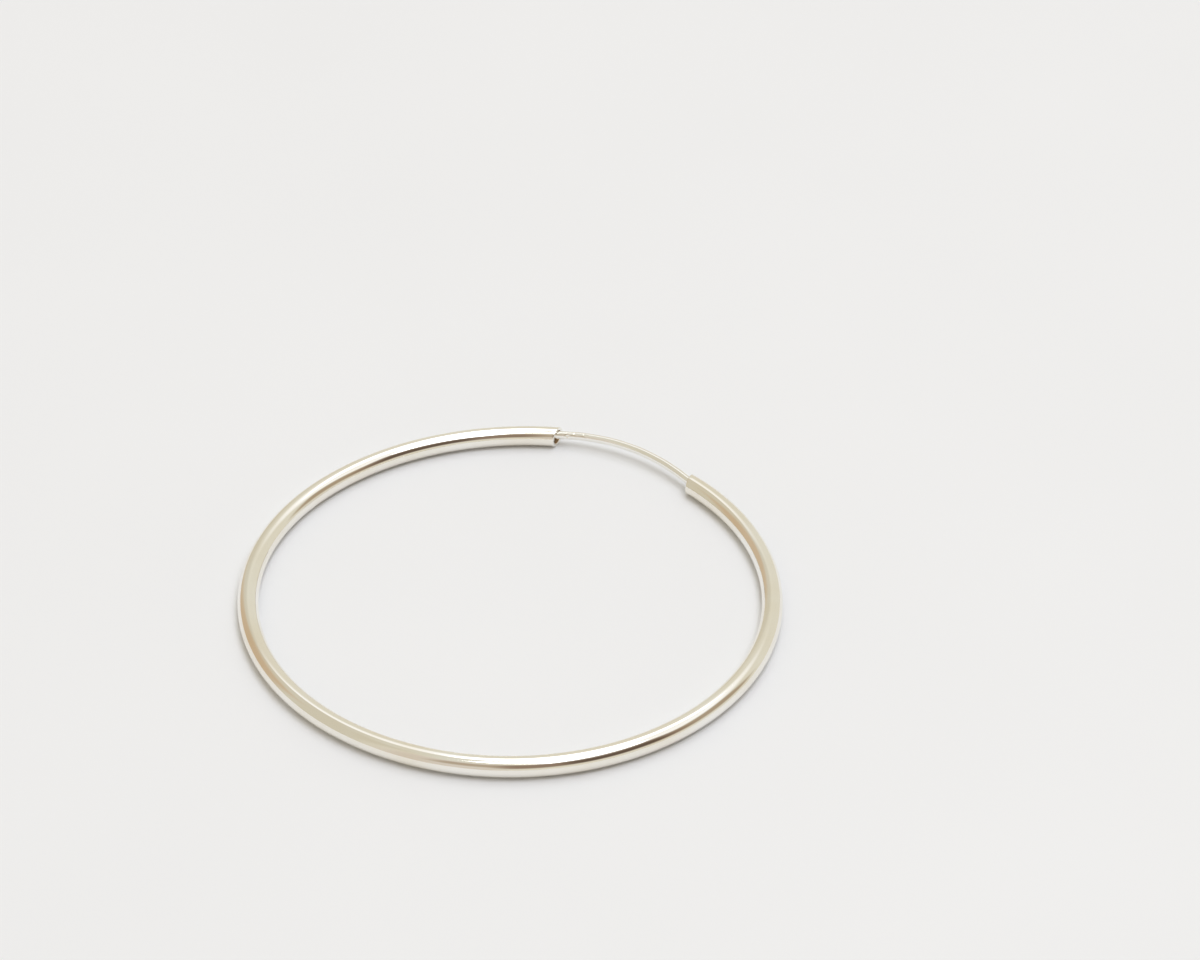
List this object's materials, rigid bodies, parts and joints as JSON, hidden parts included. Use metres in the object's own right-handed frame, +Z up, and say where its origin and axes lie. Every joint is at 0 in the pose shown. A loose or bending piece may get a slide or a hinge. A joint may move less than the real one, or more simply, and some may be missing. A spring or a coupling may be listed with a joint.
{
  "type": "hoop earring",
  "caption": "Large round endless hoop earring of thin polished silver tube, closed by a springy ear wire that slides into the tube's open end.",
  "frame": {"origin": "middle of the hoop's round, at the level of the surface that the hoop lies on", "axes": "+Z up, square to the hoop's plane; +Y to the middle of the gap that the ear wire bridges; +X to the side of the tube's open mouth"},
  "size_m": [0.052, 0.0525, 0.002],
  "materials": {
    "polished_silver_tube": "mirror polished sterling silver, faintly warm",
    "drawn_silver_wire": "polished hard drawn sterling silver wire, with small bench marks near its root"
  },
  "bodies": {
    "root": {"hoop_tube": "polished_silver_tube", "ear_wire": "drawn_silver_wire"}
  },
  "joints": []
}
